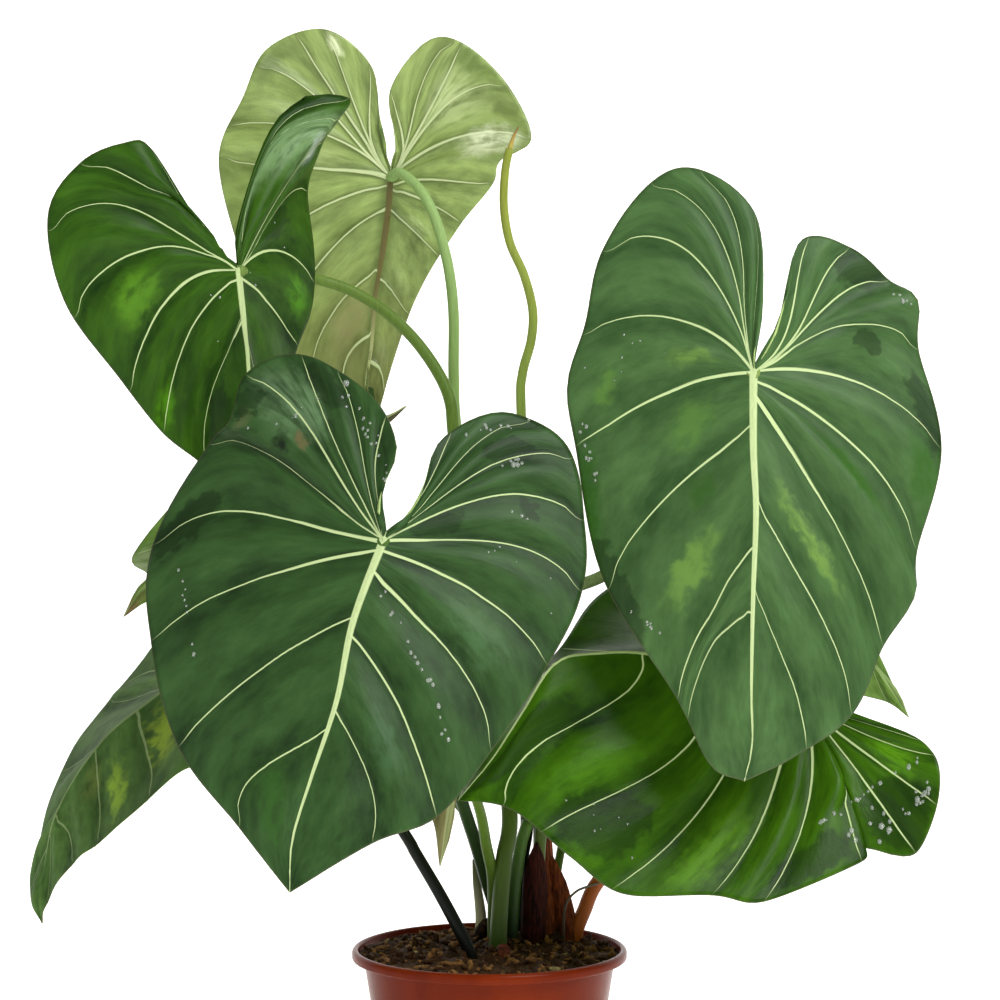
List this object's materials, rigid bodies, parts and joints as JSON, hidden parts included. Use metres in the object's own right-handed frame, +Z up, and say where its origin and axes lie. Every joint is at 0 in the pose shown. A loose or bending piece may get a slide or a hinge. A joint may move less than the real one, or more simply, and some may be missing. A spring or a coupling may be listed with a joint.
{
  "type": "potted philodendron",
  "caption": "Potted philodendron gloriosum: large heart-shaped leaves with pale veins on tall stalks from a creeping stem, in a round plastic nursery pot.",
  "frame": {"origin": "middle of the pot's flat base, on the ground", "axes": "+Z up along the pot's axis; the plant's front leaves face -Y; +X to the right as seen from the front"},
  "size_m": [0.6091, 0.3342, 0.8001],
  "materials": {
    "pot_plastic": "glossy",
    "potting_soil": "rough",
    "blade_velvet": "velvety",
    "blade_glossy": "satin",
    "blade_underside": "satin",
    "blade_young": "satin",
    "blade_dying": "dry",
    "stalk_green": "satin",
    "stalk_dark": "satin",
    "stalk_brown": "satin",
    "stalk_yellow": "satin",
    "stub_grey": "dry",
    "rhizome_bark": "rough",
    "root_skin": "rough",
    "husk_paper": "dry"
  },
  "bodies": {
    "root": {"pot": "pot_plastic", "soil": "potting_soil", "leaf_front": "blade_velvet", "leaf_right": "blade_velvet", "leaf_low_right": "blade_glossy", "leaf_high_left": "blade_glossy", "leaf_top": "blade_underside", "leaf_low_left": "blade_velvet", "leaf_small_middle": "blade_dying", "leaf_small_right": "blade_young", "leaf_small_left": "blade_young", "stalk_front": "stalk_dark", "stalk_right": "stalk_green", "stalk_low_right": "stalk_brown", "stalk_high_left": "stalk_green", "stalk_top": "stalk_green", "stalk_low_left": "stalk_dark", "stalk_small_middle": "stalk_green", "stalk_small_right": "stalk_green", "stalk_small_left": "stalk_green", "stalk_bare": "stalk_yellow", "stub_cut": "stalk_green", "stub_dry": "stub_grey", "aerial_root": "root_skin", "husk_tall": "husk_paper", "husk_right": "husk_paper", "husk_dark": "husk_paper", "rhizome": "rhizome_bark"}
  },
  "joints": []
}
